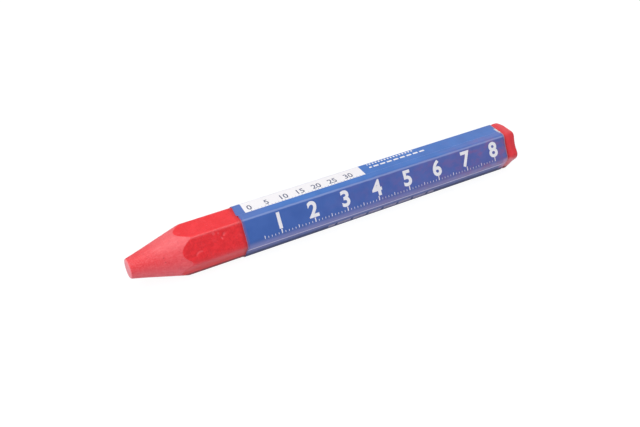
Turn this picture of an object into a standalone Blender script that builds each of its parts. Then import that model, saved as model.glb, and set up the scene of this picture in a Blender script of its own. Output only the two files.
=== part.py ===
"""Hexagonal wax marking crayon: one cast wax stick in a glued paper wrapper.

The stick lies on one of its flats with its axis along X and its point towards -X.
Angles round the axis run from +Y towards +Z, so the top flat faces 90 degrees.
"""
import math

import bmesh
import bpy
from mathutils import Matrix

MM = 0.001

# Wax stick
ACROSS_FLATS = 12.0 * MM
RIDGE_RADIUS = 0.8 * MM
BARE_FRONT = 29.9 * MM  # wax showing from the tip to the wrapper's front edge
BARE_REAR = 3.2 * MM  # wax showing behind the wrapper
REAR_RIM_RADIUS = 0.6 * MM
TIP_DIAMETER = 5.3 * MM  # flat end of the sharpened point, before its rim is rounded
TIP_RIM_RADIUS = 0.35 * MM
POINT_HALF_ANGLE = math.radians(14.5)

# Paper wrapper, wound once round the stick and lapped over the upper front flat
WRAPPER_LENGTH = 85.4 * MM
PAPER_THICKNESS = 0.12 * MM
LEAD_BEFORE_RIDGE = 1.9 * MM  # leading end lies on the top flat, this far from the ridge
TAIL_PAST_RIDGE = 2.1 * MM  # trailing end lies on the lower front flat, this far past the ridge
LAP_RAMP = 1.2 * MM  # the paper climbs onto its own leading end over this width

# Glue lines
GLUE_THICKNESS = 0.05 * MM
GLUE_CLEARANCE = 0.02 * MM  # gap from a glue line to the faces that it joins
GLUE_SETBACK = 0.8 * MM  # from a glue line to the paper's cut edges
LEAD_GLUE_PAST_RIDGE = 4.0 * MM  # lead glue reaches this far down the upper front flat
TAIL_GLUE_BEFORE_RIDGE = 4.0 * MM  # tail glue starts this far up the upper front flat

# Roundness of the modelled surfaces
RIDGE_STEPS = 8
RIM_STEPS = 4
TURNED_STEPS = 96

# Worked out from the sizes above
FACE_TURN = math.radians(60)
HALF_TURN = FACE_TURN / 2
APOTHEM = ACROSS_FLATS / 2
CORNER_RADIUS = APOTHEM / math.cos(HALF_TURN)
HALF_FACE = APOTHEM * math.tan(HALF_TURN)
RIDGE_CENTRE = (APOTHEM - RIDGE_RADIUS) / math.cos(HALF_TURN)
STICK_LENGTH = BARE_FRONT + WRAPPER_LENGTH + BARE_REAR
TIP_X = -STICK_LENGTH / 2
WRAPPER_FRONT_X = TIP_X + BARE_FRONT
GLUE_GAP = GLUE_THICKNESS + 2 * GLUE_CLEARANCE
INNER_PLY = GLUE_GAP  # inside of the first turn of paper, measured out from the wax
OUTER_PLY = INNER_PLY + PAPER_THICKNESS + GLUE_GAP  # inside of the lapped paper
AXIS_HEIGHT = APOTHEM + INNER_PLY + PAPER_THICKNESS

# Flats and ridges that the paper's ends lie on
TOP_FLAT = math.radians(90)
TOP_FRONT_RIDGE = math.radians(120)
UPPER_FRONT_FLAT = math.radians(150)
FRONT_RIDGE = math.radians(180)
LOWER_FRONT_FLAT = math.radians(210)


def material(name, colour, roughness):
    """Plain non-metallic finish."""
    made = bpy.data.materials.new(name)
    made.use_nodes = True
    shader = made.node_tree.nodes["Principled BSDF"]
    shader.inputs["Base Color"].default_value = (*colour, 1.0)
    shader.inputs["Roughness"].default_value = roughness
    shader.inputs["Metallic"].default_value = 0.0
    return made


def add_object(name, bm, collection):
    """New object with the given mesh, shaded smooth up to its ridges' own edges."""
    mesh = bpy.data.meshes.new(name)
    bm.to_mesh(mesh)
    bm.free()
    mesh.shade_smooth()
    mesh.set_sharp_from_angle(angle=math.radians(25))
    made = bpy.data.objects.new(name, mesh)
    collection.objects.link(made)
    return made


def on_flat(flat, along, level):
    """Section point on a flat: along it towards the next ridge, and out from the wax."""
    out = APOTHEM + level
    return (
        out * math.cos(flat) - along * math.sin(flat),
        out * math.sin(flat) + along * math.cos(flat),
    )


def round_ridge(ridge, level):
    """Section points of one rounded ridge, at a height out from the wax."""
    radius = RIDGE_RADIUS + level
    points = []
    for step in range(RIDGE_STEPS + 1):
        angle = ridge - HALF_TURN + FACE_TURN * step / RIDGE_STEPS
        points.append(
            (
                RIDGE_CENTRE * math.cos(ridge) + radius * math.cos(angle),
                RIDGE_CENTRE * math.sin(ridge) + radius * math.sin(angle),
            )
        )
    return points


def wrapper_section():
    """Path of the paper's inside: from its leading end once round to its trailing end."""
    lead = HALF_FACE - LEAD_BEFORE_RIDGE
    ramp_top = lead - GLUE_GAP
    points = [on_flat(TOP_FLAT, lead, INNER_PLY)]
    for turn in range(6):
        points += round_ridge(TOP_FRONT_RIDGE + turn * FACE_TURN, INNER_PLY)
    points.append(on_flat(TOP_FLAT, ramp_top - LAP_RAMP, INNER_PLY))
    points.append(on_flat(TOP_FLAT, ramp_top, OUTER_PLY))
    points += round_ridge(TOP_FRONT_RIDGE, OUTER_PLY)
    points += round_ridge(FRONT_RIDGE, OUTER_PLY)
    points.append(on_flat(LOWER_FRONT_FLAT, TAIL_PAST_RIDGE - HALF_FACE, OUTER_PLY))
    return points


def lead_glue_section():
    """Glue under the leading end, over the top front ridge and down the upper front flat."""
    start = HALF_FACE - LEAD_BEFORE_RIDGE + GLUE_SETBACK
    points = [on_flat(TOP_FLAT, start, GLUE_CLEARANCE)]
    points += round_ridge(TOP_FRONT_RIDGE, GLUE_CLEARANCE)
    points.append(on_flat(UPPER_FRONT_FLAT, LEAD_GLUE_PAST_RIDGE - HALF_FACE, GLUE_CLEARANCE))
    return points


def tail_glue_section():
    """Glue between the two plies of the lap, from the upper front flat to the trailing end."""
    level = INNER_PLY + PAPER_THICKNESS + GLUE_CLEARANCE
    end = TAIL_PAST_RIDGE - GLUE_SETBACK - HALF_FACE
    points = [on_flat(UPPER_FRONT_FLAT, HALF_FACE - TAIL_GLUE_BEFORE_RIDGE, level)]
    points += round_ridge(FRONT_RIDGE, level)
    points.append(on_flat(LOWER_FRONT_FLAT, end, level))
    return points


def wrapped_strip(name, section, length, thickness, collection):
    """Thin strip that follows a section path and runs along X, thickened outwards."""
    bm = bmesh.new()
    front = [bm.verts.new((0.0, y, z)) for y, z in section]
    edges = [bm.edges.new(pair) for pair in zip(front, front[1:])]
    swept = bmesh.ops.extrude_edge_only(bm, edges=edges)["geom"]
    moved = [item for item in swept if isinstance(item, bmesh.types.BMVert)]
    bmesh.ops.translate(bm, verts=moved, vec=(length, 0.0, 0.0))
    strip = add_object(name, bm, collection)
    solidify = strip.modifiers.new("thickness", "SOLIDIFY")
    solidify.thickness = thickness
    solidify.offset = -1.0
    solidify.use_even_offset = True
    return strip


def hexagonal_bar(collection):
    """Cast bar from the tip at x = 0 back, with rounded ridges and a rounded rear rim."""
    bm = bmesh.new()
    along_x = Matrix.Translation((STICK_LENGTH / 2, 0.0, 0.0)) @ Matrix.Rotation(math.pi / 2, 4, "Y")
    bmesh.ops.create_cone(
        bm,
        cap_ends=True,
        segments=6,
        radius1=CORNER_RADIUS,
        radius2=CORNER_RADIUS,
        depth=STICK_LENGTH,
        matrix=along_x,
    )
    ridges = [e for e in bm.edges if abs(e.verts[0].co.x - e.verts[1].co.x) > STICK_LENGTH / 2]
    bmesh.ops.bevel(
        bm,
        geom=ridges,
        offset=RIDGE_RADIUS * math.tan(HALF_TURN),
        offset_type="OFFSET",
        segments=RIDGE_STEPS,
        profile=0.5,
        affect="EDGES",
    )
    rear_rim = [e for e in bm.edges if min(v.co.x for v in e.verts) > STICK_LENGTH * 0.99]
    bmesh.ops.bevel(
        bm,
        geom=rear_rim,
        offset=REAR_RIM_RADIUS,
        offset_type="OFFSET",
        segments=RIM_STEPS,
        profile=0.5,
        affect="EDGES",
    )
    return add_object("wax_stick", bm, collection)


def sharpened_envelope(collection):
    """Turned form that the point is cut to: flat tip, rounded tip rim, cone, then clear of the bar."""
    tip_radius = TIP_DIAMETER / 2
    slope = math.tan(POINT_HALF_ANGLE)
    rim_centre = tip_radius - TIP_RIM_RADIUS * (1 - math.sin(POINT_HALF_ANGLE)) / math.cos(POINT_HALF_ANGLE)
    clear_radius = CORNER_RADIUS * 1.2
    cone_length = (clear_radius - tip_radius) / slope
    profile = [(0.0, 0.0)]
    for step in range(RIM_STEPS + 1):
        angle = math.pi / 2 + (POINT_HALF_ANGLE - math.pi / 2) * step / RIM_STEPS
        profile.append(
            (
                rim_centre + TIP_RIM_RADIUS * math.cos(angle),
                TIP_RIM_RADIUS * (math.sin(angle) - 1),
            )
        )
    profile.append((clear_radius, -cone_length))
    profile.append((clear_radius, -STICK_LENGTH * 1.1))
    profile.append((0.0, -STICK_LENGTH * 1.1))
    bm = bmesh.new()
    points = [bm.verts.new((radius, 0.0, height)) for radius, height in profile]
    for pair in zip(points, points[1:]):
        bm.edges.new(pair)
    envelope = add_object("sharpened_envelope", bm, collection)
    envelope.rotation_euler = (0.0, -math.pi / 2, 0.0)
    turned = envelope.modifiers.new("turned", "SCREW")
    turned.steps = TURNED_STEPS
    turned.render_steps = TURNED_STEPS
    turned.use_merge_vertices = True
    turned.merge_threshold = 0.00001
    envelope.hide_render = True
    envelope.display_type = "WIRE"
    return envelope


for existing in list(bpy.data.objects):
    bpy.data.objects.remove(existing, do_unlink=True)

parts = bpy.data.collections.new("marking_crayon")
cutters = bpy.data.collections.new("marking_crayon_cutters")
bpy.context.scene.collection.children.link(parts)
bpy.context.scene.collection.children.link(cutters)

axis = bpy.data.objects.new("stick_axis", None)
axis.location = (0.0, 0.0, AXIS_HEIGHT)
parts.objects.link(axis)

# The stick is cast as a bar and its front end is turned down to a blunt point.
wax_stick = hexagonal_bar(parts)
envelope = sharpened_envelope(cutters)
sharpening = wax_stick.modifiers.new("sharpening", "BOOLEAN")
sharpening.operation = "INTERSECT"
sharpening.solver = "EXACT"
sharpening.object = envelope
wax_stick.data.materials.append(material("red_wax", (0.72, 0.04, 0.045), 0.55))

# The paper is rolled round the bar, stuck down at its leading end and over itself at its trailing end.
paper_wrapper = wrapped_strip("paper_wrapper", wrapper_section(), WRAPPER_LENGTH, PAPER_THICKNESS, parts)
paper_wrapper.data.materials.append(material("printed_paper", (0.06, 0.13, 0.42), 0.5))

glue_length = WRAPPER_LENGTH - 2 * GLUE_SETBACK
paste = material("dried_paste", (0.78, 0.74, 0.62), 0.6)
lead_glue = wrapped_strip("lead_glue", lead_glue_section(), glue_length, GLUE_THICKNESS, parts)
tail_glue = wrapped_strip("tail_glue", tail_glue_section(), glue_length, GLUE_THICKNESS, parts)
for glue in (lead_glue, tail_glue):
    glue.data.materials.append(paste)

placed = (
    (wax_stick, TIP_X),
    (envelope, TIP_X),
    (paper_wrapper, WRAPPER_FRONT_X),
    (lead_glue, WRAPPER_FRONT_X + GLUE_SETBACK),
    (tail_glue, WRAPPER_FRONT_X + GLUE_SETBACK),
)
for piece, x in placed:
    piece.parent = axis
    piece.location = (x, 0.0, 0.0)
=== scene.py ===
"""Marking crayon: a hexagonal stick of red wax with a turned point, in a glued and printed paper sleeve.

The stick lies on one of its flats with its axis along X and its point towards -X.
Angles round the axis run from +Y towards +Z, so the top flat faces 90 degrees.
"""
import math

import bmesh
import bpy
import numpy as np
from mathutils import Matrix, Vector, noise


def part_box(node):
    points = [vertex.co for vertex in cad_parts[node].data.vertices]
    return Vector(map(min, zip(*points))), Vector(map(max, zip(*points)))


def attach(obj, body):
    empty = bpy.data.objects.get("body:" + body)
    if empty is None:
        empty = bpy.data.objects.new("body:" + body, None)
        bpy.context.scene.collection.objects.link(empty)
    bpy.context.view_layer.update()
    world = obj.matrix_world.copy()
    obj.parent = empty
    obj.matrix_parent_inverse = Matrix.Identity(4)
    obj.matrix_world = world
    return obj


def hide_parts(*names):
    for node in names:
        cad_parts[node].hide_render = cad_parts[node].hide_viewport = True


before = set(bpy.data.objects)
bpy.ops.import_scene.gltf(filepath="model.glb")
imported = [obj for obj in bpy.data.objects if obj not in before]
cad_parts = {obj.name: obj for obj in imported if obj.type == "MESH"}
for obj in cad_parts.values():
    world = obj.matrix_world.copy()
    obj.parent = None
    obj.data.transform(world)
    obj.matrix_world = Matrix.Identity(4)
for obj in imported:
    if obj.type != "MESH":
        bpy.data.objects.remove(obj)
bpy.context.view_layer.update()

# Wax stick. Hard pigmented wax, cast in one piece as a hexagonal bar with softly rounded ridges.
# Its front end is then turned to a blunt cone, which leaves fine rings, a frosted skin and six scallops
# where the cone runs out on the flats. The rear end stands proud of the sleeve and is rubbed round.
MM = 0.001
WAX_LOW, WAX_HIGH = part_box("wax_stick")
TIP_X = WAX_LOW.x
REAR_X = WAX_HIGH.x
SLEEVE_LOW, SLEEVE_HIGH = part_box("paper_wrapper")
AXIS_Z = (WAX_LOW.z + WAX_HIGH.z) / 2
APOTHEM = (WAX_HIGH.z - WAX_LOW.z) / 2
FACE_TURN = math.radians(60)
HALF_TURN = FACE_TURN / 2
HALF_FACE = APOTHEM * math.tan(HALF_TURN)
BARE_REAR = 3.2 * MM  # length of the bare rear end
BARE_REAR_X = REAR_X - BARE_REAR
RIDGE_NAMES = ("back", "top_back", "top_front", "front", "bottom_front", "bottom_back")
FLAT_NAMES = ("upper_back", "top", "upper_front", "lower_front", "bottom", "lower_back")
RIDGES = {name: place * FACE_TURN for place, name in enumerate(RIDGE_NAMES)}
FLATS = {name: HALF_TURN + place * FACE_TURN for place, name in enumerate(FLAT_NAMES)}
RIDGE_RADII = dict.fromkeys(RIDGES, 0.9 * MM) | {"front": 2.0 * MM, "bottom_front": 1.4 * MM}
REAR_RADII = dict.fromkeys(RIDGES, 1.6 * MM) | {"top_front": 2.0 * MM, "front": 2.0 * MM}
RIDGE_POINTS = 8
FLAT_POINTS = 36


def on_flat(flat, along, level):
    """Section point on a flat: along it towards the next ridge, and out from the wax."""
    angle = FLATS[flat]
    out = APOTHEM + level
    return (
        out * math.cos(angle) - along * math.sin(angle),
        out * math.sin(angle) + along * math.cos(angle),
    )


def on_ridge(ridge, turn, level, radii=RIDGE_RADII):
    """Section point on a rounded ridge: turn runs from -1 to 1 across it."""
    centre = (APOTHEM - radii[ridge]) / math.cos(HALF_TURN)
    angle = RIDGES[ridge]
    normal = angle + HALF_TURN * turn
    radius = radii[ridge] + level
    return (
        centre * math.cos(angle) + radius * math.cos(normal),
        centre * math.sin(angle) + radius * math.sin(normal),
    )


def flat_ends(flat, radii=RIDGE_RADII):
    """Where a flat starts and ends between its two rounded ridges, from its middle."""
    index = FLAT_NAMES.index(flat)
    before, after = (radii[RIDGE_NAMES[place % 6]] for place in (index, index + 1))
    return before * math.tan(HALF_TURN) - HALF_FACE, HALF_FACE - after * math.tan(HALF_TURN)


def ease(value, start, end):
    """0 before start, 1 after end, and a smooth step between them."""
    share = np.clip((value - start) / (end - start), 0.0, 1.0)
    return share * share * (3 - 2 * share)


def eased(value, keys):
    """A smooth curve through keys, given as (place, height) in order."""
    places, heights = np.array(keys).T
    after = np.clip(np.searchsorted(places, value, side="right"), 1, len(places) - 1)
    share = ease(value, places[after - 1], places[after])
    return heights[after - 1] + (heights[after] - heights[after - 1]) * share


def wax_section(x, level):
    """The bar's closed section at one place, as an array with the same count of points everywhere."""
    worn = ease(x, BARE_REAR_X, REAR_X)
    radii = {ridge: (1 - worn) * RIDGE_RADII[ridge] + worn * REAR_RADII[ridge] for ridge in RIDGES}
    points = []
    for ridge, flat in zip(RIDGES, FLATS):
        turns = np.linspace(-1.0, 1.0, RIDGE_POINTS, endpoint=False)
        points += [on_ridge(ridge, turn, level, radii) for turn in turns]
        places = np.linspace(*flat_ends(flat, radii), FLAT_POINTS, endpoint=False)
        points += [on_flat(flat, along, level) for along in places]
    return np.array(points)


TIP_RADIUS = 2.65 * MM
TIP_RIM_RADIUS = 0.5 * MM
TIP_REACH = 0.25 * MM  # the point runs on this far past the plain stick's end
TIP_RINGS = 8
POINT_HALF_ANGLE = math.radians(14.5)
REAR_RIM_RADIUS = 0.9 * MM
RIM_STEPS = 9
BARE_FRONT = 31.5 * MM  # fine rows reach a little way under the sleeve
ROW_PITCH = 0.12 * MM
HIDDEN_ROWS = 12
REAR_ROWS = 24
REAR_ROWS_LEAD = 1.0 * MM  # the rear rows start this far inside the sleeve


def wax_rows():
    """Rows along the stick as (x, level of the bar's section, radius of the turned form)."""
    clear = 2 * APOTHEM
    end_x = TIP_X - TIP_REACH
    slope = math.tan(POINT_HALF_ANGLE)
    rim_shift = TIP_RIM_RADIUS * (1 - math.sin(POINT_HALF_ANGLE)) / math.cos(POINT_HALF_ANGLE)
    rim_centre = TIP_RADIUS - slope * TIP_REACH - rim_shift
    rows = [(end_x, 0.0, rim_centre * ring / TIP_RINGS) for ring in range(1, TIP_RINGS)]
    for angle in np.linspace(math.pi / 2, POINT_HALF_ANGLE, RIM_STEPS):
        back = TIP_RIM_RADIUS * (1 - math.sin(angle))
        rows.append((end_x + back, 0.0, rim_centre + TIP_RIM_RADIUS * math.cos(angle)))
    for x in np.arange(rows[-1][0] + ROW_PITCH, TIP_X + BARE_FRONT, ROW_PITCH):
        rows.append((x, 0.0, TIP_RADIUS + slope * (x - TIP_X)))
    rear_start = BARE_REAR_X - REAR_ROWS_LEAD
    rim_start = REAR_X - REAR_RIM_RADIUS
    hidden = np.linspace(TIP_X + BARE_FRONT, rear_start, HIDDEN_ROWS, endpoint=False)
    bare = np.linspace(rear_start, rim_start, REAR_ROWS, endpoint=False)
    rows += [(x, 0.0, clear) for x in (*hidden, *bare)]
    for angle in np.linspace(0.0, math.pi / 2, RIM_STEPS):
        inset = REAR_RIM_RADIUS * (1 - math.cos(angle))
        rows.append((rim_start + REAR_RIM_RADIUS * math.sin(angle), -inset, clear))
    return rows


# How strongly each ridge is polished by handling, how far past the ridge that lies, and where it fades.
RIDGE_POLISH = dict.fromkeys(RIDGES, 0.6) | {"top_front": 1.0, "front": 0.0}
POLISH_SHIFT = 0.3 * MM
POLISH_FADE = (0.1 * MM, 0.45 * MM)
BOTTOM_SHADE_FADE = (0.8 * MM, 2.8 * MM)  # painted shade along the bottom front ridge thins out over this distance
# Where the front end is rubbed pale with a painted floor reflection, and the rear end rubbed pale, in degrees
# past the front ridge.
PALE_RISE = (-8, 8)
FRONT_PALE_FALL = (18, 50)
REAR_HANDLED_FALL = (48, 80)
POINT_OVAL = 0.022  # how much faster the point widens towards its top back and bottom front ridges
POINT_SHIFT = (-0.05 * MM, -0.09 * MM)  # how far the turned point's axis lies off the bar's, in y and z


class Columns:
    """What holds for each point round the bar's section, all along the stick."""

    def __init__(self):
        plain = wax_section(0.0, 0.0)
        angles = np.arctan2(plain[:, 1], plain[:, 0])
        nearest = np.round((angles - HALF_TURN) / FACE_TURN).astype(int) % 6
        flat_angles = HALF_TURN + nearest * FACE_TURN
        self.angles = angles
        self.flats = np.array(FLAT_NAMES)[nearest]
        self.along = plain[:, 1] * np.cos(flat_angles) - plain[:, 0] * np.sin(flat_angles)

        at_ridge = np.round(angles / FACE_TURN).astype(int)
        off_ridge = (angles - at_ridge * FACE_TURN) * HALF_FACE * 2
        polish = np.array(list(RIDGE_POLISH.values()))[at_ridge % 6]
        on_bottom_front = np.array(RIDGE_NAMES)[at_ridge % 6] == "bottom_front"
        self.polished = polish * (1 - ease(np.abs(off_ridge - POLISH_SHIFT), *POLISH_FADE))
        self.grimy = on_bottom_front * (1 - ease(np.abs(off_ridge), *BOTTOM_SHADE_FADE))
        past_front = np.degrees(angles % (2 * math.pi)) - 180
        rise = ease(past_front, *PALE_RISE)
        self.handled = rise * (1 - ease(past_front, *FRONT_PALE_FALL))
        self.rear_handled = rise * (1 - ease(past_front, *REAR_HANDLED_FALL))

        self.oval = POINT_OVAL * np.cos(angles - RIDGES["top_back"]) ** 2
        self.off_axis = POINT_SHIFT[0] * np.cos(angles) + POINT_SHIFT[1] * np.sin(angles)


# Marks in the wax, in millimetres. Chips in the cast flats: flat, distance from the tip, place along the
# flat, radius and depth. One ring pressed into a flat: the same, with the groove's half width before its
# depth. Dirt on the turned point: distance from the tip, angle in degrees, radius.
CHIPS = (
    ("upper_front", 24.7, -1.75, 0.45, 0.16),
    ("upper_front", 24.4, -1.45, 0.30, 0.12),
    ("upper_front", 23.8, -0.89, 0.42, 0.16),
    ("upper_front", 23.9, -0.55, 0.26, 0.08),
    ("upper_front", 23.2, -2.28, 0.40, 0.07),
    ("upper_front", 21.9, -2.5, 0.55, 0.05),
    ("top", 21.5, 0.8, 0.20, 0.04),
    ("top", 26.0, -1.6, 0.18, 0.04),
    ("lower_front", 22.4, 0.4, 0.25, 0.08),
    ("upper_back", 20.8, -0.6, 0.30, 0.10),
    ("upper_back", 26.3, 1.4, 0.24, 0.08),
    ("lower_back", 23.7, 0.2, 0.26, 0.09),
    ("bottom", 25.2, -1.0, 0.24, 0.08),
)
PRESSED_RING = ("upper_front", 17.4, 1.9, 1.1, 0.32, 0.13)
RING_LEAN = 0.35  # how far the ring's deeper side turns towards the tip
RING_FADE = (-0.3, 1.0)  # where the ring grows from its shallow to its deep side
RING_SHALLOW = 0.25  # depth of the shallow side against the deep one
DIRT = (
    (0.25, 174, 0.3), (1.1, 171, 0.14), (8.3, 145, 0.34),
    (8.5, 160, 0.32), (5.2, 40, 0.2), (10.4, 250, 0.3),
)


def wax_marks(from_tip, columns):
    """Depth of the marks in millimetres, how pale each point of a row is from chips and from the painted
    highlight on the ring's upper side, and how dirty it is.
    """
    along = columns.along / MM
    depth, chipped_and_highlit, dirt_and_shade = np.zeros((3, len(along)))
    for flat, place, across, radius, deep in CHIPS:
        near = np.exp(-(np.hypot(from_tip - place, along - across) / radius) ** 2) * (columns.flats == flat)
        depth += deep * near
        chipped_and_highlit = np.maximum(chipped_and_highlit, near)
    flat, place, across, radius, width, deep = PRESSED_RING
    from_groove = (np.hypot(from_tip - place, along - across) - radius) / width
    deeper = ease(across - along - RING_LEAN * (from_tip - place), *RING_FADE)
    groove = np.exp(-(from_groove**2)) * (columns.flats == flat)
    groove = groove * (RING_SHALLOW + (1 - RING_SHALLOW) * deeper)
    depth += deep * groove
    # The ring's deeper, upper side is also painted pale as a highlight.
    chipped_and_highlit = np.maximum(chipped_and_highlit, groove * deeper)
    for place, degrees, radius in DIRT:
        turn = (columns.angles - math.radians(degrees) + math.pi) % (2 * math.pi) - math.pi
        around = turn * (TIP_RADIUS / MM + from_tip * math.tan(POINT_HALF_ANGLE))
        dirt_and_shade = np.maximum(dirt_and_shade, np.exp(-(np.hypot(from_tip - place, around) / radius) ** 2))
    return depth, chipped_and_highlit, dirt_and_shade


def waves(points, length, seed):
    """Even noise between about -1 and 1 with the given wave length, one value for each point."""
    offset = Vector((seed, seed, seed))
    return np.array([noise.noise(Vector(point) / length + offset) for point in points])


OVAL_START = 4.0 * MM  # the oval grows from this far behind the tip
SCALLOP_SOFTNESS = 0.04 * MM
CAST_WAVE = 0.02 * MM
CAST_WAVE_LENGTH = 1.6 * MM
CAST_GRAIN = 0.005 * MM
CAST_GRAIN_LENGTH = 0.45 * MM
TURNING_PITCH = 0.42 * MM
TURNING_DEPTH = 0.005 * MM
TURNING_EVEN = 0.7
TURNING_STRAY = 0.6  # how far the rings' depth strays from that
TIP_RUB = 0.6 * MM  # the rubbed end of the point fades out over this length
REAR_FADE = 0.5 * MM  # the front's wear gives way to the rear's over this length to either side
# How pale the painted highlight makes the ridges, rubbing and a painted floor reflection the front ridge's
# underside, and rubbing the rear end, and how dark dirt is.
PAINTED_RIDGE_HIGHLIGHT = 0.3
HANDLED_AND_REFLECTION_PALE = 0.4
REAR_PALE = 0.8
DIRT_DARK = 0.57


def side_row(columns, x, level, turned_radius):
    """One row of the stick's side: its points, and as shares what happened to each of them and where light
    and shade are painted.
    """
    section = wax_section(x, level)
    reach = np.hypot(section[:, 0], section[:, 1])
    shift = columns.off_axis * min(1.0, turned_radius / TIP_RADIUS)
    turned_radius = turned_radius + shift + columns.oval * max(0.0, x - TIP_X - OVAL_START)
    gap = reach - turned_radius
    turned = ease(gap, -SCALLOP_SOFTNESS, SCALLOP_SOFTNESS)
    radius = 0.5 * (reach + turned_radius - np.sqrt(gap**2 + SCALLOP_SOFTNESS**2))
    outward = section / reach[:, None]
    points = np.column_stack((np.full(len(reach), x), outward * radius[:, None]))

    depth, chipped_and_highlit, dirt_and_shade = wax_marks((x - TIP_X) / MM, columns)
    slow = waves(points, CAST_WAVE_LENGTH, seed=0.0)
    quick = waves(points, CAST_GRAIN_LENGTH, seed=7.0)
    cast_lift = CAST_WAVE * slow + CAST_GRAIN * quick - depth * MM
    turned_lift = TURNING_DEPTH * np.sin(2 * math.pi * x / TURNING_PITCH + quick)
    turned_lift = turned_lift * (TURNING_EVEN + TURNING_STRAY * slow)
    lift = turned * turned_lift + (1 - turned) * cast_lift
    points[:, 1:] += outward * lift[:, None]

    at_tip = 1 - ease(x + TIP_REACH, TIP_X, TIP_X + TIP_RUB)
    at_rear = ease(x, BARE_REAR_X - REAR_FADE, BARE_REAR_X + REAR_FADE)
    # Painted light in the pale share: a painted highlight on the polished ridges, and a painted floor
    # reflection over the rubbing under the front ridge.
    pale = np.maximum(PAINTED_RIDGE_HIGHLIGHT * columns.polished, HANDLED_AND_REFLECTION_PALE * columns.handled) * (1 - at_rear)
    pale = pale + REAR_PALE * columns.rear_handled * at_rear
    shares = {
        "turned": turned,
        "polished": columns.polished * (1 - turned) * (1 - at_rear),
        "rubbed": np.maximum(pale * (1 - turned), at_tip),
        "chipped_and_highlit": (1 - turned) * chipped_and_highlit,
        # Dirt spots on the turned point, and painted shade along the bottom front ridge of the cast flats.
        "dirt_and_shade": np.maximum(DIRT_DARK * turned * dirt_and_shade, (1 - turned) * columns.grimy),
    }
    return points, shares


REAR_FACE_RINGS = 48
REAR_FACE_SPAN = (0.98, 0.02)  # the outermost and the innermost ring against the rim
REAR_DISH = 0.25 * MM
REAR_SINK = (0.8 * MM, -0.5 * MM, 2.3 * MM, 0.18 * MM)  # y, z, radius and depth of the sink left by casting
REAR_WAVE = 0.04 * MM
REAR_WAVE_LENGTH = 2.2 * MM
REAR_GRAIN = 0.01 * MM
REAR_GRAIN_LENGTH = 0.6 * MM
TRIM_PITCH = 0.5 * MM  # knife marks across the trimmed rear face
TRIM_DEPTH = 0.015 * MM
TRIM_RISE = (1.0, 0.9)  # the knife marks fade in from the rim to this share of it
TRIM_ANGLE = 0.4  # in radians, from Y towards Z
TRIM_SWAY = 0.25 * MM
TRIM_SWAY_LENGTH = 2.6 * MM
REAR_FROST = 0.25  # the trimmed face is this far from a cast to a turned finish
REAR_RIM_PALE = 0.25
REAR_RIM_RISE = (0.7, 1.0)


def rear_row(rim, share):
    """One ring of the trimmed rear face, drawn in from the rim to a share of its size."""
    ring = rim * (1.0, share, share)
    sink_y, sink_z, sink_radius, sink_depth = REAR_SINK
    sink = np.exp(-(((ring[:, 1] - sink_y) ** 2 + (ring[:, 2] - sink_z) ** 2) / sink_radius**2))
    across = ring[:, 1] * math.cos(TRIM_ANGLE) + ring[:, 2] * math.sin(TRIM_ANGLE)
    across = across + TRIM_SWAY * waves(ring, TRIM_SWAY_LENGTH, seed=5.0)
    trim = TRIM_DEPTH * np.sin(2 * math.pi * across / TRIM_PITCH) * ease(share, *TRIM_RISE)
    uneven = REAR_WAVE * waves(ring, REAR_WAVE_LENGTH, seed=3.0)
    uneven = uneven + REAR_GRAIN * waves(ring, REAR_GRAIN_LENGTH, seed=9.0)
    ring[:, 0] += trim + uneven - REAR_DISH * (1 - share**2) - sink_depth * sink
    bare = np.zeros(len(ring))
    rubbed = bare + REAR_RIM_PALE * ease(share, *REAR_RIM_RISE)
    shares = {"turned": bare + REAR_FROST, "polished": bare, "rubbed": rubbed, "chipped_and_highlit": bare, "dirt_and_shade": bare}
    return ring, shares


REAR_FLARE = 0.18 * MM  # the bare rear end stands out to the sleeve's own height
FLARE_END = 1.8 * MM  # the flare is full from this far ahead of the rear end
FRONT_RIDGE_SWELL = 0.3 * MM
SWELL_RISE = (5.2 * MM, 6.8 * MM)  # distance towards the front ridge over which the swell grows
WEAR_LENGTH = 2.9 * MM
WEAR_RISE = (2.5 * MM, 6.5 * MM)  # distance from the axis over which the rim's wear grows
# How far the rear rim is worn forward, by the angle round the axis in degrees, in millimetres.
REAR_WEAR = (
    (0, 0.3), (60, 0.2), (80, -0.45), (120, -0.45), (150, -0.1), (180, -0.15),
    (210, 0.3), (240, 0.9), (270, 0.6), (300, 0.7), (330, 0.4), (360, 0.3),
)


def wear_rear(points):
    """Flares the stick's bare rear end and wears its rim."""
    rearness = ease(points[:, 0], BARE_REAR_X, REAR_X - FLARE_END)
    flare = REAR_FLARE + FRONT_RIDGE_SWELL * ease(-points[:, 1], *SWELL_RISE)
    points[:, 1:] *= 1 + (rearness * flare / APOTHEM)[:, None]
    turn = np.degrees(np.arctan2(points[:, 2], points[:, 1])) % 360
    from_axis = np.hypot(points[:, 1], points[:, 2])
    at_rim = ease(points[:, 0], REAR_X - WEAR_LENGTH, REAR_X) * ease(from_axis, *WEAR_RISE)
    points[:, 0] -= at_rim * eased(turn, REAR_WEAR) * MM


def add_piece(name, bm):
    """New smooth-shaded object from a bmesh, in the shared frame."""
    mesh = bpy.data.meshes.new(name)
    bm.to_mesh(mesh)
    bm.free()
    mesh.shade_smooth()
    made = bpy.data.objects.new(name, mesh)
    bpy.context.scene.collection.objects.link(made)
    return made


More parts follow.
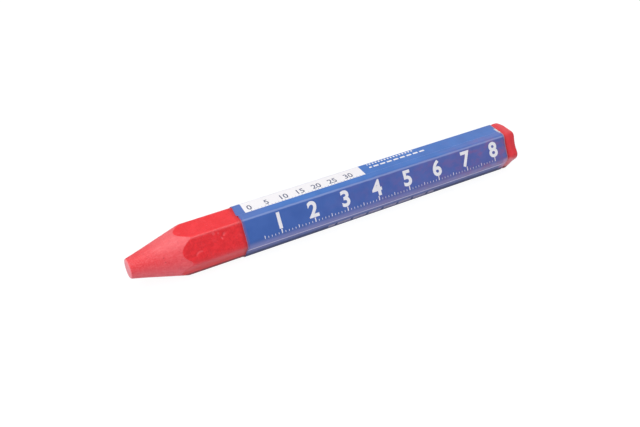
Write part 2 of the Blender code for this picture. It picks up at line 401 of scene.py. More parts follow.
def build_wax():
    """The stick as one closed skin of rows along X, which holds the shares of its points."""
    columns = Columns()
    rows = [side_row(columns, *row) for row in wax_rows()]
    rim = rows[-1][0]
    rows += [rear_row(rim, share) for share in np.linspace(*REAR_FACE_SPAN, REAR_FACE_RINGS)]
    points = np.concatenate([ring for ring, _ in rows])
    wear_rear(points)
    points[:, 2] += AXIS_Z

    count = len(rim)
    last = len(points) - count
    bm = bmesh.new()
    verts = [bm.verts.new(point) for point in points]
    tip = bm.verts.new((TIP_X - TIP_REACH, 0.0, AXIS_Z))
    rear = bm.verts.new((points[last:, 0].mean(), 0.0, AXIS_Z))
    for column in range(count):
        after = (column + 1) % count
        for row in range(0, last, count):
            bm.faces.new([verts[row + place] for place in (column, after, after + count, column + count)])
        bm.faces.new((tip, verts[after], verts[column]))
        bm.faces.new((rear, verts[last + column], verts[last + after]))
    bmesh.ops.recalc_face_normals(bm, faces=bm.faces)
    made = add_piece("wax_body", bm)
    for name in ("turned", "polished", "rubbed", "chipped_and_highlit", "dirt_and_shade"):
        values = [shares[name] for _, shares in rows]
        at_ends = np.array((float(name in ("turned", "rubbed")), values[-1][0]))
        held = made.data.attributes.new(name, "FLOAT", "POINT")
        held.data.foreach_set("value", np.concatenate(values + [at_ends]).astype(np.float32))
    return made


def srgb(red, green, blue):
    """A colour as it looks on screen, from 0 to 255, in the linear numbers that a shader takes."""
    linear = []
    for byte in (red, green, blue):
        share = byte / 255
        linear.append(share / 12.92 if share <= 0.04045 else ((share + 0.055) / 1.055) ** 2.4)
    return (*linear, 1.0)


class Field:
    """A value that varies over a surface. Arithmetic on it adds Math nodes to its finish."""

    def __init__(self, finish, socket):
        self.finish = finish
        self.socket = socket

    def math(self, operation, *values):
        return self.finish.node("ShaderNodeMath", {"operation": operation}, dict(enumerate(values)))

    def __add__(self, other):
        return self.math("ADD", self, other)

    def __sub__(self, other):
        return self.math("SUBTRACT", self, other)

    def __rsub__(self, other):
        return self.math("SUBTRACT", other, self)

    def __mul__(self, other):
        return self.math("MULTIPLY", self, other)

    __radd__ = __add__
    __rmul__ = __mul__

    def __mod__(self, other):
        return self.math("FLOORED_MODULO", self, other)

    def __abs__(self):
        return self.math("ABSOLUTE", self)

    def most(self, other):
        return self.math("MAXIMUM", self, other)

    def step(self, start, end):
        """0 at start, 1 at end, smooth between; start may be the larger."""
        low, high = sorted((start, end))
        first, last = (0.0, 1.0) if start < end else (1.0, 0.0)
        sockets = {"Value": self, "From Min": low, "From Max": high, "To Min": first, "To Max": last}
        return self.finish.node("ShaderNodeMapRange", {"interpolation_type": "SMOOTHSTEP"}, sockets)


class Nodes:
    """A node tree that nodes are added to."""

    def __init__(self, tree):
        self.tree = tree

    def plug(self, value, socket):
        """Links a field to a socket, or sets the socket to a plain value."""
        if isinstance(value, Field):
            self.tree.links.new(value.socket, socket)
        else:
            socket.default_value = value

    def node(self, kind, settings, sockets, output=0):
        """Any node: its settings first, then the values or links of its sockets."""
        made = self.tree.nodes.new(kind)
        for name, value in settings.items():
            setattr(made, name, value)
        for name, value in sockets.items():
            self.plug(value, made.inputs[name])
        return Field(self, made.outputs[output])


class Finish(Nodes):
    """A material made of nodes, for one surface."""

    def __init__(self, name):
        self.material = bpy.data.materials.new(name)
        self.material.use_nodes = True
        super().__init__(self.material.node_tree)
        self.shader = self.tree.nodes["Principled BSDF"]

    def place(self):
        """Where a point is in the shared frame, in millimetres, as a vector."""
        where = self.node("ShaderNodeTexCoord", {}, {}, "Object")
        return self.node("ShaderNodeVectorMath", {"operation": "SCALE"}, {0: where, "Scale": 1 / MM})

    def stretch(self, vector, factors):
        """A vector with each axis multiplied by its own factor."""
        return self.node("ShaderNodeVectorMath", {"operation": "MULTIPLY"}, {0: vector, 1: factors})

    def split(self, vector):
        """A vector's three parts."""
        return [self.node("ShaderNodeSeparateXYZ", {}, {0: vector}, axis) for axis in range(3)]

    def grain(self, vector, per_mm, detail=2.0, roughness=0.5):
        """Even noise from 0 to 1, with so many bumps to a millimetre."""
        sockets = {"Vector": vector, "Scale": per_mm, "Detail": detail, "Roughness": roughness}
        return self.node("ShaderNodeTexNoise", {}, sockets)

    def spots(self, vector, per_mm):
        """Distance to the nearest of a scatter of points."""
        return self.node("ShaderNodeTexVoronoi", {}, {"Vector": vector, "Scale": per_mm})

    def share(self, name):
        """A value that the mesh holds for each of its points."""
        return self.node("ShaderNodeAttribute", {"attribute_name": name}, {}, "Fac")

    def mix(self, factor, first, second):
        """From the first colour to the second."""
        settings = {"data_type": "RGBA", "clamp_factor": True}
        return self.node("ShaderNodeMix", settings, {0: factor, 6: first, 7: second}, 2)

    def layers(self, colour, *coats):
        """A colour with others laid over it in turn, each given as (share, colour)."""
        for share, coat in coats:
            colour = self.mix(share, colour, coat)
        return colour

    def feed(self, **sockets):
        """Sets or links the shader's own sockets; an underscore stands for a space."""
        for name, value in sockets.items():
            self.plug(value, self.shader.inputs[name.replace("_", " ")])

    def bump(self, height, depth_mm):
        """A small relief, as deep as given where height goes from 0 to 1."""
        sockets = {"Height": height, "Strength": 1.0, "Distance": depth_mm * MM}
        return self.node("ShaderNodeBump", {}, sockets)


def wax_grains(wax, place):
    """The wax's patterns, from broad clouds of pigment to fine dust, and its streaks."""
    return {
        "cloud": wax.grain(place, 0.3, 3.0),
        "mottle": wax.grain(place, 1.1, 3.0, 0.6),
        "powder": wax.grain(place, 2.6, 4.0, 0.65),
        "dust": wax.grain(place, 9.0, 2.0, 0.6),
        "rings": wax.grain(wax.stretch(place, (1.0, 0.04, 0.04)), 3.4, 3.0, 0.7),
        "hairs": wax.grain(wax.stretch(place, (3.0, 0.25, 0.25)), 1.4, 2.0, 0.6),
        "smears": wax.grain(wax.stretch(place, (0.4, 1.0, 1.0)), 1.0, 4.0, 0.65),
        "streaks": wax.grain(wax.stretch(place, (0.12, 1.0, 1.0)), 2.2, 2.0, 0.6),
    }


def cast_colour(wax, grains, x, up):
    """Clear red of the cast flats: mottled and scuffed, with painted shade on the upper front flat, painted
    shade and grime by the paper's edge, dulled on the bare rear end.
    """
    bare_rear = BARE_REAR_X / MM
    paper_front = SLEEVE_LOW.x / MM
    behind = x.step(bare_rear - 0.5, bare_rear + 0.5)
    by_paper = x.step(paper_front - 1.5, paper_front - 0.1)
    upper_front_shade = up.step(0.9, 0.6) * up.step(0.1, 0.4) * (1 - behind)
    return wax.layers(
        wax.mix(grains["cloud"].step(0.35, 0.7), srgb(246, 43, 51), srgb(253, 51, 59)),
        (grains["mottle"].step(0.5, 0.72) * 0.4, srgb(234, 36, 44)),
        # A darker mottle where the surface faces the front and a little up: painted shade.
        (upper_front_shade * grains["mottle"].step(0.38, 0.62) * 0.5, srgb(226, 34, 44)),
        (grains["hairs"].step(0.56, 0.78) * 0.25, srgb(250, 88, 96)),
        (grains["smears"].step(0.55, 0.72) * 0.3, srgb(250, 84, 92)),
        (grains["powder"].step(0.56, 0.72) * 0.2, srgb(252, 104, 110)),
        (grains["powder"].step(0.46, 0.3) * 0.4, srgb(222, 30, 40)),
        # A darker band on the wax just before the paper's front edge: painted shade of the edge, with grime
        # at the step.
        (by_paper * (1 - behind) * 0.4, srgb(150, 30, 44)),
        (behind * 0.35, srgb(200, 72, 84)),
    )


def frosted_colour(wax, grains, x, up):
    """Pale red of the turned point: redder at its end, streaked along it and ringed round it, with a painted
    highlight on its upper side and a painted floor reflection on its lower side.
    """
    from_tip = x - TIP_X / MM
    # How far a point faces up, shifted near the tip, for the painted light below.
    tilt = up - from_tip.step(10.0, 3.0) * 0.25
    return wax.layers(
        wax.mix(from_tip.step(1.0, 14.0), srgb(240, 56, 64), srgb(246, 82, 89)),
        (grains["powder"].step(0.4, 0.7) * 0.45, srgb(250, 112, 118)),
        (grains["streaks"].step(0.52, 0.7) * 0.25, srgb(252, 132, 137)),
        (grains["streaks"].step(0.48, 0.3) * 0.25, srgb(228, 54, 64)),
        (grains["mottle"].step(0.5, 0.7) * 0.45, srgb(230, 56, 66)),
        (grains["rings"].step(0.5, 0.8) * 0.2, srgb(252, 140, 144)),
        # Painted highlight on the upward-facing side, and painted reflection of the floor on the
        # downward-facing side.
        (tilt.step(0.55, 1.0) * 0.22, srgb(253, 152, 154)),
        (tilt.step(0.3, -0.5) * 0.3, srgb(252, 146, 152)),
    )


def wax_finish():
    """Satin red on the cast flats, paler and frosted on the turned point, with wear, dirt, painted ridge
    highlights and painted shade.
    """
    wax = Finish("red_wax")
    place = wax.place()
    x, _, _ = wax.split(place)
    _, _, up = wax.split(wax.node("ShaderNodeTexCoord", {}, {}, "Normal"))
    grains = wax_grains(wax, place)
    powder = grains["powder"]
    turned = wax.share("turned")
    rubbed = (wax.share("rubbed") + (powder - 0.5) * 0.3).step(0.1, 0.9)
    chipped_and_highlit = (wax.share("chipped_and_highlit") + (powder - 0.5) * 0.6).step(0.3, 0.9)
    specks = wax.spots(place, 0.42).step(0.075, 0.05) * grains["dust"].step(0.45, 0.6)
    dirt_and_shade_mix = (wax.share("dirt_and_shade") + (powder - 0.5) * 0.5).step(0.25, 0.9)
    colour = wax.layers(
        cast_colour(wax, grains, x, up),
        (turned, frosted_colour(wax, grains, x, up)),
        # Pale where rubbed, with painted highlights on the ridges and a painted floor reflection under the
        # front ridge.
        (rubbed * 0.75, wax.mix(rubbed, srgb(250, 112, 120), srgb(255, 157, 163))),
        # Paler chips, and the pressed ring's painted highlight.
        (chipped_and_highlit * 0.36, srgb(250, 112, 118)),
        # Dark dust specks, dirt, and the painted shade along the bottom front ridge.
        ((specks * 0.6).most(dirt_and_shade_mix * 0.8), srgb(120, 17, 33)),
    )
    relief = powder * 0.5 + grains["dust"] * 0.3 + grains["mottle"] * 0.6
    relief = relief + grains["rings"] * turned * 0.5 + grains["hairs"] * 0.25
    wax.feed(
        Base_Color=colour,
        Roughness=0.42 + turned * 0.1 + (powder - 0.5) * 0.16,
        Normal=wax.bump(relief, 0.02),
        Coat_Weight=wax.share("polished"),
        Coat_Roughness=0.2,
        IOR=1.48,
        Subsurface_Weight=0.12,
        Subsurface_Radius=(1.0, 0.25, 0.2),
        Subsurface_Scale=0.4 * MM,
    )
    return wax.material


wax_body = build_wax()
wax_body.data.materials.append(wax_finish())
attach(wax_body, "root")
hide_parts("wax_stick")

# Paper sleeve. One strip of coated paper, printed blue on its outside, wound once round the stick from the
# top flat over the front and stuck down on itself. Its trailing cut edge shows as a pale line on the lower
# front flat, and its ridges are rubbed pale and painted with highlights.
SLEEVE_LENGTH = SLEEVE_HIGH.x - SLEEVE_LOW.x
PAPER = 0.12 * MM
GLUE_GAP = 0.09 * MM
FIRST_TURN = GLUE_GAP + PAPER
LAP = FIRST_TURN + GLUE_GAP + PAPER
LEAD_BEFORE_RIDGE = 1.9 * MM
TAIL_PAST_RIDGE = 2.1 * MM
LAP_RAMP = 0.4 * MM
RIDGE_RUB_AND_HIGHLIGHT = 0.8
LAP_TOP_RUB_AND_HIGHLIGHT = 1.0
LAP_FRONT_RUB_AND_HIGHLIGHT = 0.4
RUB_AND_HIGHLIGHT_TURN = 0.3  # the rub and painted highlight on a ridge lie a little past its middle


class Winding:
    """Outside of the strip in section, from its leading to its trailing end."""

    FLAT_STEPS = 22
    RIDGE_STEPS = 10
    RAMP_STEPS = 6

    def __init__(self):
        self.points = []
        self.rubbed = []
        self.starts = {}

    def point(self, y, z, rubbed=0.0):
        self.points.append((y, z))
        self.rubbed.append(rubbed)

    def flat(self, flat, start, end, level, name=None):
        self.starts[name or flat] = (len(self.points), start)
        for step in range(self.FLAT_STEPS):
            self.point(*on_flat(flat, start + (end - start) * step / self.FLAT_STEPS, level))

    def ridge(self, ridge, level, rub_and_highlight):
        for step in range(self.RIDGE_STEPS):
            turn = 2 * step / self.RIDGE_STEPS - 1
            self.point(*on_ridge(ridge, turn, level), rub_and_highlight * max(0.0, 1 - abs(turn - RUB_AND_HIGHLIGHT_TURN)))

    # The ramp over the leading end carries a painted highlight line, strongest in its middle.
    def ramp(self, flat, start, end, low, high):
        for share in np.linspace(0.0, 1.0, self.RAMP_STEPS, endpoint=False):
            along = start + (end - start) * share
            level = low + (high - low) * ease(share, 0.0, 1.0)
            self.point(*on_flat(flat, along, level), math.sin(math.pi * share))

    def travel(self):
        """Distance along the strip to each point, in millimetres."""
        steps = np.hypot(*np.diff(np.array(self.points), axis=0).T)
        return np.concatenate(((0.0,), np.cumsum(steps))) / MM

    def middles(self):
        """Where the middle of each flat lies on the strip, in millimetres from its leading end."""
        travel = self.travel()
        return {name: travel[index] - along / MM for name, (index, along) in self.starts.items()}


def wind_sleeve():
    """The strip's way round the stick."""
    strip = Winding()
    lead = HALF_FACE - LEAD_BEFORE_RIDGE
    ramp_top = lead - GLUE_GAP
    tail = TAIL_PAST_RIDGE - HALF_FACE
    top_start, top_end = flat_ends("top")
    strip.flat("top", lead, top_end, FIRST_TURN, "leading_end")
    # Round from the top front ridge to the upper back flat.
    for ridge, flat in zip(RIDGE_NAMES[2:] + RIDGE_NAMES[:1], FLAT_NAMES[2:] + FLAT_NAMES[:1]):
        strip.ridge(ridge, FIRST_TURN, RIDGE_RUB_AND_HIGHLIGHT)
        strip.flat(flat, *flat_ends(flat), FIRST_TURN, "under_lap" if flat == "upper_front" else flat)
    strip.ridge("top_back", FIRST_TURN, RIDGE_RUB_AND_HIGHLIGHT)
    strip.flat("top", top_start, ramp_top - LAP_RAMP, FIRST_TURN)
    strip.ramp("top", ramp_top - LAP_RAMP, ramp_top, FIRST_TURN, LAP)
    strip.flat("top", ramp_top, top_end, LAP, "top_lap")
    strip.ridge("top_front", LAP, LAP_TOP_RUB_AND_HIGHLIGHT)
    strip.flat("upper_front", *flat_ends("upper_front"), LAP)
    strip.ridge("front", LAP, LAP_FRONT_RUB_AND_HIGHLIGHT)
    strip.flat("lower_front", flat_ends("lower_front")[0], tail, LAP, "tail")
    strip.point(*on_flat("lower_front", tail, LAP))
    return strip


# How far the front edge strays from square on the top flat: along the flat, and back from the tip.
FRONT_EDGE = ((-3.4, 0.0), (-2.6, 0.15), (0.5, -0.3), (1.1, -0.25), (2.0, 0.2), (3.2, 0.0))
# How far the rear edge strays, from flat to flat along the strip.
REAR_EDGE = (
    ("under_lap", -0.95), ("lower_front", -0.35), ("bottom", 0.6), ("lower_back", 0.2),
    ("top", -0.15), ("upper_front", -0.8), ("tail", -0.9),
)
# How far both edges waver besides, all in millimetres.
FRONT_WAVER = 0.06
REAR_WAVER = 0.12
WAVER_LENGTH = 3.0
WAVER_SEED = 3.0
SLEEVE_ROWS = 100
EDGE_PARTS = 20  # an edge's straying dies out within one of so many parts of the length


def edge_shifts(strip):
    """How far the front and rear edges lie behind their square places, for each point of the strip."""
    travel = strip.travel()
    middle = strip.middles()
    waver = np.array([noise.noise(Vector((run / WAVER_LENGTH, WAVER_SEED, 0.0))) for run in travel])
    front = FRONT_WAVER * waver + np.interp(travel - middle["top"], *zip(*FRONT_EDGE))
    places, strays = zip(*((middle[flat], stray) for flat, stray in REAR_EDGE))
    rear = REAR_WAVER * waver + np.interp(travel, places, strays)
    return front * MM, rear * MM


def build_sleeve(strip):
    """The strip as a grid that knows its place on the flat sheet, with the paper's thickness inside it."""
    travel = strip.travel()
    front, rear = edge_shifts(strip)
    bm = bmesh.new()
    sheet = bm.loops.layers.uv.new("flat_sheet")
    rub_and_highlight = bm.verts.layers.float.new("rubbed")
    grid = []
    for share in np.linspace(0.0, 1.0, SLEEVE_ROWS + 1):
        at_front = max(0.0, 1 - share * EDGE_PARTS)
        at_rear = max(0.0, share * EDGE_PARTS - (EDGE_PARTS - 1))
        line = []
        for (y, z), rubbed, shift in zip(strip.points, strip.rubbed, front * at_front + rear * at_rear):
            vert = bm.verts.new((SLEEVE_LOW.x + SLEEVE_LENGTH * share + shift, y, z + AXIS_Z))
            vert[rub_and_highlight] = rubbed
            line.append(vert)
        grid.append(line)
    for row in range(SLEEVE_ROWS):
        for column in range(len(travel) - 1):
            corners = ((row, column), (row, column + 1), (row + 1, column + 1), (row + 1, column))
            face = bm.faces.new([grid[r][c] for r, c in corners])
            for loop, (r, c) in zip(face.loops, corners):
                loop[sheet].uv = (SLEEVE_LENGTH * r / SLEEVE_ROWS / MM, travel[c])
    made = add_piece("sleeve", bm)
    thickness = made.modifiers.new("paper", "SOLIDIFY")
    thickness.thickness = PAPER
    thickness.use_even_offset = True
    thickness.material_offset = 1
    thickness.material_offset_rim = 1
    return made


# Print on the flat sheet, in millimetres: a white field over the top and upper back flats with a fine scale,
# a bold centimetre rule on the upper front flat and on the flat opposite, two rows of plain dashes on the
# top flat and one on the lower front flat.
FIELD_START = 2.5
FIELD_END = 38.9
FIELD_FOOT = 1.2
FIELD_HEAD = -2.3
SCALE_START = FIELD_START + 1.7
SCALE_LENGTH = 34.0
SCALE_FOOT = FIELD_FOOT - 0.15
SCALE_STROKES = ((1.0, 0.12, 0.4), (5.0, 0.14, 0.65))  # pitch, width and length of each kind
RULED_ROWS = (-1.2, 0.4, 2.0)
RULED_WIDTH = 0.1
RULED_MARGIN = 1.5
RULED_DARK = 0.7  # against the scale's strokes
RULE_FOOT = 3.0
RULE_START = 5.0
RULE_END = 80.0
RULE_STROKES = ((1.0, 0.14, 0.5), (5.0, 0.18, 0.85), (10.0, 0.3, 1.2))
STROKE_MARGIN = 0.3  # a scale's ends clear its first and last stroke by this much
# Flat, row on it, height of a dash, where the row starts and ends, pitch and length of the dashes.
DASHES = (
    ("top", -1.25, 0.6, 41.5, 60.0, 2.2, 1.6),
    ("top", -2.75, 0.6, 41.5, 57.0, 1.0, 0.5),
    ("lower_front", 1.6, 1.3, 25.0, 60.0, 5.0, 4.2),
)
INK_EDGE = 0.03
DASH_EDGE = 0.08


def band(value, start, end, soft=INK_EDGE):
    """1 between start and end, with a soft edge."""
    middle = (start + end) / 2
    half = (end - start) / 2
    return abs(value - middle).step(half + soft, half - soft)


def strokes(along, pitch, width):
    """1 on a stroke at each whole pitch along the sheet."""
    off = abs((along + pitch / 2) % pitch - pitch / 2)
    return off.step(width / 2 + INK_EDGE, width / 2 - INK_EDGE)


def rule(along, height, sizes):
    """A rule's strokes above its foot, from sizes as (pitch, width, length)."""
    marks = [strokes(along, pitch, width) * band(height, 0.0, length) for pitch, width, length in sizes]
    drawn = marks[0]
    for mark in marks[1:]:
        drawn = drawn.most(mark)
    return drawn


def white_print(along, wound, middle):
    """1 where the paper is left white: the field, the two rules and the dashes."""
    field = band(wound, middle["upper_back"] + FIELD_HEAD, middle["top"] + FIELD_FOOT)
    white = field * band(along, FIELD_START, FIELD_END)
    for flat in ("upper_front", "lower_back"):
        drawn = rule(along, middle[flat] + RULE_FOOT - wound, RULE_STROKES)
        white = white.most(drawn * band(along, RULE_START - STROKE_MARGIN, RULE_END + STROKE_MARGIN))
    for flat, row, tall, start, end, pitch, length in DASHES:
        across = middle[flat] + row
        dashes = strokes(along - start, pitch, length)
        dashes = dashes * band(wound, across - tall / 2, across + tall / 2, DASH_EDGE)
        white = white.most(dashes * band(along, start, end))
    return white


def grey_print(along, wound, middle):
    """How dark the white field is drawn on: its fine scale, and the ruled lines on the upper back flat."""
    drawn = rule(along - SCALE_START, middle["top"] + SCALE_FOOT - wound, SCALE_STROKES)
    scale_end = SCALE_START + SCALE_LENGTH
    drawn = drawn * band(along, SCALE_START - STROKE_MARGIN, scale_end + STROKE_MARGIN)
    for row in RULED_ROWS:
        across = middle["upper_back"] + row
        ruled = band(wound, across - RULED_WIDTH / 2, across + RULED_WIDTH / 2)
        ruled = ruled * band(along, FIELD_START + RULED_MARGIN, FIELD_END - RULED_MARGIN)
        drawn = drawn.most(ruled * RULED_DARK)
    return drawn


def printed_finish(middle, tail):
    """Blue ink on coated paper, painted darker as shade on the front, rubbed pale and painted with highlights
    on the ridges, with a haze of wax that grows towards the rear and painted shade towards the bottom.
    """
    ink = Finish("printed_paper")
    place = ink.place()
    sheet = ink.node("ShaderNodeUVMap", {"uv_map": "flat_sheet"}, {})
    along, wound, _ = ink.split(sheet)
    cloud = ink.grain(place, 0.18, 3.0)
    patches = ink.grain(ink.stretch(place, (0.7, 1.0, 1.0)), 0.42, 4.0, 0.6)
    fibre = ink.grain(place, 5.0, 3.0, 0.6)
    scuff = ink.grain(ink.stretch(place, (0.35, 1.5, 1.5)), 1.0, 4.0, 0.65)
    upper_front = middle["upper_front"]
    lower_front = middle["lower_front"]
    on_front = wound.step(upper_front - 4.2, upper_front - 3.2)
    rear_gap = SLEEVE_LENGTH / MM - along

    clouded = cloud.step(0.3, 0.7)
    blue = ink.mix(clouded, srgb(67, 119, 196), srgb(75, 127, 205))
    # The same ink painted darker as shade for the front.
    shaded_blue = ink.mix(clouded, srgb(64, 102, 179), srgb(72, 110, 187))
    white = white_print(along, wound, middle)

    # Painted highlight along the front ridge, paler print below the lap, wax and dirt smeared on by the hand,
    # and painted shade towards the bottom.
    lap_foot = wound.step(upper_front + 2.6, upper_front + 4.3)
    below_lap = band(wound, lower_front - 1.8, lower_front + 1.2, 0.9)
    haze = along.step(0.0, 92.0) * (0.4 + patches.step(0.4, 0.7) * 0.6)
    by_ridge = band(wound, upper_front - 5.8, upper_front - 3.4, 0.8) * along.step(50.0, 80.0)
    front_haze = (1 - white) * (1 - on_front) * along.step(16.0, 0.0)
    smudge = on_front * along.step(62.0, 84.0) * patches.step(0.48, 0.68)
    bottom_shade = band(wound, lower_front + 1.0, middle["bottom"] - 2.8, 1.2)

    # Ridges rubbed pale and painted with highlights, the trailing cut edge, and the worn and torn rear edge.
    rubbed = (ink.share("rubbed") + (scuff - 0.5) * 0.5).step(0.45, 0.85)
    cut_edge = (tail - wound + (scuff - 0.5) * 0.1).step(0.6, 0.4)
    rear_rub = (rear_gap + (scuff - 0.5) * 0.3).step(0.35, 0.1)
    corner = lap_foot.most(below_lap) * (rear_gap + (patches - 0.5) * 1.2).step(2.6, 0.8)
    torn = band(wound, middle["top"] - 0.7, middle["top"] + 2.1, 0.5)
    torn = torn * (rear_gap + (patches - 0.5) * 1.4).step(0.95, 0.6)

    colour = ink.layers(
        ink.mix(on_front, blue, shaded_blue),
        ((fibre - 0.5) * 0.3, srgb(112, 142, 206)),
        (white, srgb(255, 252, 255)),
        (grey_print(along, wound, middle) * 0.8, srgb(84, 90, 120)),
        # Painted highlight along the lap's front ridge, stronger towards the rear.
        (lap_foot * (0.5 + along.step(50.0, 85.0) * 0.25), srgb(176, 172, 222)),
        (below_lap * 0.35, srgb(160, 132, 172)),
        (haze * (0.1 + on_front * 0.36).most(by_ridge * 0.4), srgb(156, 98, 148)),
        (front_haze * 0.2, srgb(142, 112, 150)),
        (smudge * 0.35, srgb(176, 92, 128)),
        # Painted shade on the lower front flat towards the floor, with the white print there painted shaded
        # too.
        (bottom_shade * 0.75, ink.mix(white, srgb(62, 50, 80), srgb(120, 106, 166))),
        # Ridges pale from rubbing and from painted highlights.
        (rubbed * 0.4, srgb(176, 192, 236)),
        (cut_edge * 0.9, srgb(236, 233, 252)),
        (along.step(0.9, 0.0) * (0.2 + on_front * 0.35), srgb(120, 60, 108)),
        (rear_rub * 0.75, srgb(222, 182, 206)),
        (corner * 0.7, srgb(244, 172, 202)),
        (torn, srgb(250, 244, 250)),
    )
    relief = fibre * 0.2 + cloud * 2.0
    ink.feed(Base_Color=colour, Roughness=0.45 + (fibre - 0.5) * 0.2, Normal=ink.bump(relief, 0.02), IOR=1.4)
    return ink.material


def bare_paper_finish():
    """Uncoated white of the sheet's inside and its cut edges, stained by the wax at the front."""
    bare = Finish("bare_paper")
    place = bare.place()
    fibre = bare.grain(bare.stretch(place, (0.6, 1.6, 1.6)), 4.0, 4.0, 0.6)
    colour = bare.mix(fibre, srgb(170, 160, 186), srgb(216, 210, 226))
    x, _, _ = bare.split(place)
    front = x.step(SLEEVE_LOW.x / MM + 1.0, SLEEVE_LOW.x / MM + 0.4)
    colour = bare.mix(front * 0.6, colour, srgb(176, 92, 116))
    bare.feed(Base_Color=colour, Roughness=0.85, Normal=bare.bump(fibre, 0.01))
    return bare.material


strip = wind_sleeve()
sleeve = build_sleeve(strip)
sleeve.data.materials.append(printed_finish(strip.middles(), float(strip.travel()[-1])))
sleeve.data.materials.append(bare_paper_finish())
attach(sleeve, "root")
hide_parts("paper_wrapper")

# Glue lines. Two thin films of dried paste, one under the paper's leading end and one inside the lap.
# They are brushed on in one pass each and stay hidden between the paper and what it is stuck to.
PASTE = 0.05 * MM
PASTE_GAP = (GLUE_GAP - PASTE) / 2
PASTE_SETBACK = 0.8 * MM
PASTE_PAST_RIDGE = 4.0 * MM
PASTE_REAR_GAP = 0.6 * MM  # the films stop short of the paper's worn rear edge
PASTE_RIDGE_POINTS = 13


def paste_finish():
    """Cream paste with brush streaks along the stick."""
    paste = Finish("dried_paste")
    place = paste.place()
    streaks = paste.grain(paste.stretch(place, (0.15, 2.0, 2.0)), 1.2, 3.0)
    colour = paste.mix(streaks, srgb(214, 204, 178), srgb(236, 228, 206))
    paste.feed(Base_Color=colour, Roughness=0.5 + streaks * 0.2, Normal=paste.bump(streaks, 0.02))
    return paste.material


def paste_film(node, first, start, ridge, second, end, level, finish):
    """A closed film from one flat over a ridge to the next, with its inside at a level over the wax."""
    low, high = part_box(node)
    bm = bmesh.new()
    rings = []
    for x in (low.x, high.x - PASTE_REAR_GAP):
        for height in (level, level + PASTE):
            line = [on_flat(first, start, height)]
            line += [on_ridge(ridge, turn, height) for turn in np.linspace(-1.0, 1.0, PASTE_RIDGE_POINTS)]
            line.append(on_flat(second, end, height))
            rings.append([bm.verts.new((x, y, z + AXIS_Z)) for y, z in line])
    for one, two in ((0, 1), (3, 2), (2, 0), (1, 3)):
        for place in range(len(rings[0]) - 1):
            bm.faces.new((rings[one][place], rings[one][place + 1], rings[two][place + 1], rings[two][place]))
    for place in (0, -1):
        bm.faces.new([rings[ring][place] for ring in (0, 1, 3, 2)])
    bmesh.ops.recalc_face_normals(bm, faces=bm.faces)
    made = add_piece(node + "_film", bm)
    made.data.shade_flat()
    made.data.materials.append(finish)
    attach(made, "root")
    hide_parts(node)


paste = paste_finish()
lead_start = HALF_FACE - LEAD_BEFORE_RIDGE + PASTE_SETBACK
lead_end = PASTE_PAST_RIDGE - HALF_FACE
paste_film("lead_glue", "top", lead_start, "top_front", "upper_front", lead_end, PASTE_GAP, paste)
tail_start = HALF_FACE - PASTE_PAST_RIDGE
tail_end = TAIL_PAST_RIDGE - PASTE_SETBACK - HALF_FACE
tail_level = FIRST_TURN + PASTE_GAP
paste_film("tail_glue", "upper_front", tail_start, "front", "lower_front", tail_end, tail_level, paste)

# Printed figures. Plain numbers of the two scales, bold and white on the blue, small and grey on the white
# field. They are printed with the rest of the sheet, and stand on it as a thin film of ink.
INK = 0.012 * MM
FIGURE_HEIGHT = 0.72  # height of a figure against the size of its letters
FIGURE_CURVE_STEPS = 5


def figure_mesh(text, size, weight):
    """One number as a flat mesh of ink, upright in its own XY plane."""
    curve = bpy.data.curves.new("figure", "FONT")
    curve.body = text
    curve.align_x = "CENTER"
    curve.offset = weight
    curve.extrude = INK / size / 2
    curve.resolution_u = FIGURE_CURVE_STEPS
    figure = bpy.data.objects.new("figure", curve)
    bpy.context.scene.collection.objects.link(figure)
    graph = bpy.context.evaluated_depsgraph_get()
    mesh = bpy.data.meshes.new_from_object(figure.evaluated_get(graph))
    bpy.data.objects.remove(figure)
    bpy.data.curves.remove(curve)
    return mesh


def figures(name, labels, flats, foot, height, weight, finish):
    """Numbers that stand on a line along some flats, each centred at its place along the sleeve."""
    size = height / FIGURE_HEIGHT
    bm = bmesh.new()
    for flat, level in flats:
        y, z = on_flat(flat, foot, level)
        across = size * math.sin(FLATS[flat])
        upward = size * math.cos(FLATS[flat])
        for text, along in labels:
            mesh = figure_mesh(text, size, weight)
            mesh.transform(Matrix((
                (size, 0.0, 0.0, SLEEVE_LOW.x + along),
                (0.0, across, upward, y),
                (0.0, -upward, across, z + AXIS_Z),
                (0.0, 0.0, 0.0, 1.0),
            )))
            bm.from_mesh(mesh)
            bpy.data.meshes.remove(mesh)
    bmesh.ops.remove_doubles(bm, verts=bm.verts, dist=INK / 20)
    made = add_piece(name, bm)
    made.data.shade_flat()
    made.data.materials.append(finish)
    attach(made, "root")


def figure_finish(name, dark, light):
    """Ink with the paper's grain showing through."""
    ink = Finish(name)
    place = ink.place()
    fibre = ink.grain(place, 3.0, 3.0, 0.6)
    ink.feed(Base_Color=ink.mix(fibre, dark, light), Roughness=0.5, Normal=ink.bump(fibre, 0.004))
    return ink.material


figures(
    "rule_figures",
    [(str(number), 10 * number * MM) for number in range(1, 9)],
    (("upper_front", LAP), ("lower_back", FIRST_TURN)),
    foot=1.5 * MM,
    height=4.3 * MM,
    weight=0.032,
    finish=figure_finish("white_ink", srgb(246, 242, 252), srgb(255, 255, 255)),
)
figures(
    "scale_figures",
    [(str(number), (SCALE_START + number) * MM) for number in range(0, 31, 5)],
    (("top", FIRST_TURN),),
    foot=0.3 * MM,
    height=2.0 * MM,
    weight=0.012,
    finish=figure_finish("grey_ink", srgb(82, 88, 116), srgb(112, 118, 146)),
)

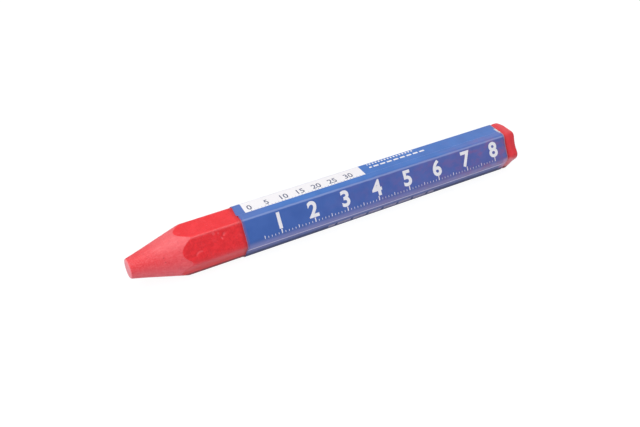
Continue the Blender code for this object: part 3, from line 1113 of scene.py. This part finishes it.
# Studio. A wide white floor that keeps the shadow, in a white room, under a broad overhead softbox with two
# weaker ones beside it. The camera stands where the photograph was taken from.
FLOOR_DROP = 0.03 * MM
FLOOR_HALF_SIZE = 3.0
FLOOR_COLOUR = (0.67, 0.69, 0.77, 1.0)
FLOOR_GLOW = 1.15
FLOOR_SEEN_WHITE = (0.82, 0.3)
ROOM_COLOUR = (0.97, 0.985, 1.0, 1.0)
ROOM_AMBIENT = 0.22
ROOM_SEEN_WHITE = (1.0, 0.5)
# Name, place, aim, size and power of each softbox.
SOFTBOXES = (
    ("overhead", (-0.15, -0.04, 0.6), (0.0, 0.0, 0.0), 0.8, 3.8),
    ("front_left", (-0.63, -0.32, 0.15), (-0.02, 0.0, 0.0), 0.5, 1.55),
    ("back_right", (0.6, 0.35, 0.3), (0.0, 0.0, 0.0), 0.5, 0.6),
)
CAMERA_PLACE = Vector((-93.82, -167.08, 141.25)) * MM
CAMERA_HEADING = math.radians(28.15)
CAMERA_DOWN = math.radians(36.05)
CAMERA_ROLL = math.radians(-1.02)
CAMERA_LENS = 47.5
CAMERA_SENSOR = 36.0
CAMERA_NEAR = 0.01


def seen_white(nodes, straight, mirrored):
    """Share of plain white that the studio shows straight to the camera, and in or through a surface."""
    rays = ("Is Camera Ray", "Is Glossy Ray", "Is Transmission Ray")
    camera_ray, glossy_ray, clear_ray = (nodes.node("ShaderNodeLightPath", {}, {}, ray) for ray in rays)
    return (camera_ray * straight).most(glossy_ray.most(clear_ray) * mirrored)


def floor_finish():
    """Matt white that takes the shadow, mixed with plain white where the camera sees it."""
    white = Finish("white_sweep")
    lit = white.node("ShaderNodeBsdfDiffuse", {}, {"Color": FLOOR_COLOUR})
    glow = white.node("ShaderNodeEmission", {}, {"Color": (1.0, 1.0, 1.0, 1.0), "Strength": FLOOR_GLOW})
    seen = seen_white(white, *FLOOR_SEEN_WHITE)
    surface = white.node("ShaderNodeMixShader", {}, {0: seen, 1: lit, 2: glow})
    white.tree.links.new(surface.socket, white.tree.nodes["Material Output"].inputs["Surface"])
    return white.material


def softbox(name, place, aim, size, power):
    """A square lamp that faces the point it is aimed at."""
    lamp = bpy.data.lights.new(name, "AREA")
    lamp.shape = "SQUARE"
    lamp.size = size
    lamp.energy = power
    made = bpy.data.objects.new(name, lamp)
    made.location = place
    made.rotation_euler = (Vector(aim) - Vector(place)).to_track_quat("-Z", "Y").to_euler()
    bpy.context.scene.collection.objects.link(made)


def white_room():
    """A world that gives a weak even light, and is white where the camera sees it."""
    world = bpy.data.worlds.new("studio")
    world.use_nodes = True
    room = Nodes(world.node_tree)
    strength = ROOM_AMBIENT + (1 - ROOM_AMBIENT) * seen_white(room, *ROOM_SEEN_WHITE)
    background = room.node("ShaderNodeBackground", {}, {"Color": ROOM_COLOUR, "Strength": strength})
    room.tree.links.new(background.socket, room.tree.nodes["World Output"].inputs["Surface"])
    return world


def photo_camera():
    """The photograph's camera: turned to its heading, tipped down and rolled a little."""
    lens = bpy.data.cameras.new("camera")
    lens.sensor_width = CAMERA_SENSOR
    lens.lens = CAMERA_LENS
    lens.clip_start = CAMERA_NEAR
    made = bpy.data.objects.new("camera", lens)
    turn = Matrix.Rotation(-CAMERA_HEADING, 4, "Z") @ Matrix.Rotation(math.pi / 2 - CAMERA_DOWN, 4, "X")
    made.matrix_world = Matrix.Translation(CAMERA_PLACE) @ turn @ Matrix.Rotation(CAMERA_ROLL, 4, "Z")
    bpy.context.scene.collection.objects.link(made)
    return made


bm = bmesh.new()
bmesh.ops.create_grid(bm, x_segments=1, y_segments=1, size=FLOOR_HALF_SIZE)
bmesh.ops.translate(bm, verts=bm.verts, vec=(0.0, 0.0, -FLOOR_DROP))
floor = add_piece("floor", bm)
floor.data.materials.append(floor_finish())
for lamp in SOFTBOXES:
    softbox(*lamp)
bpy.context.scene.world = white_room()
bpy.context.scene.camera = photo_camera()
bpy.context.scene.view_settings.view_transform = "Standard"
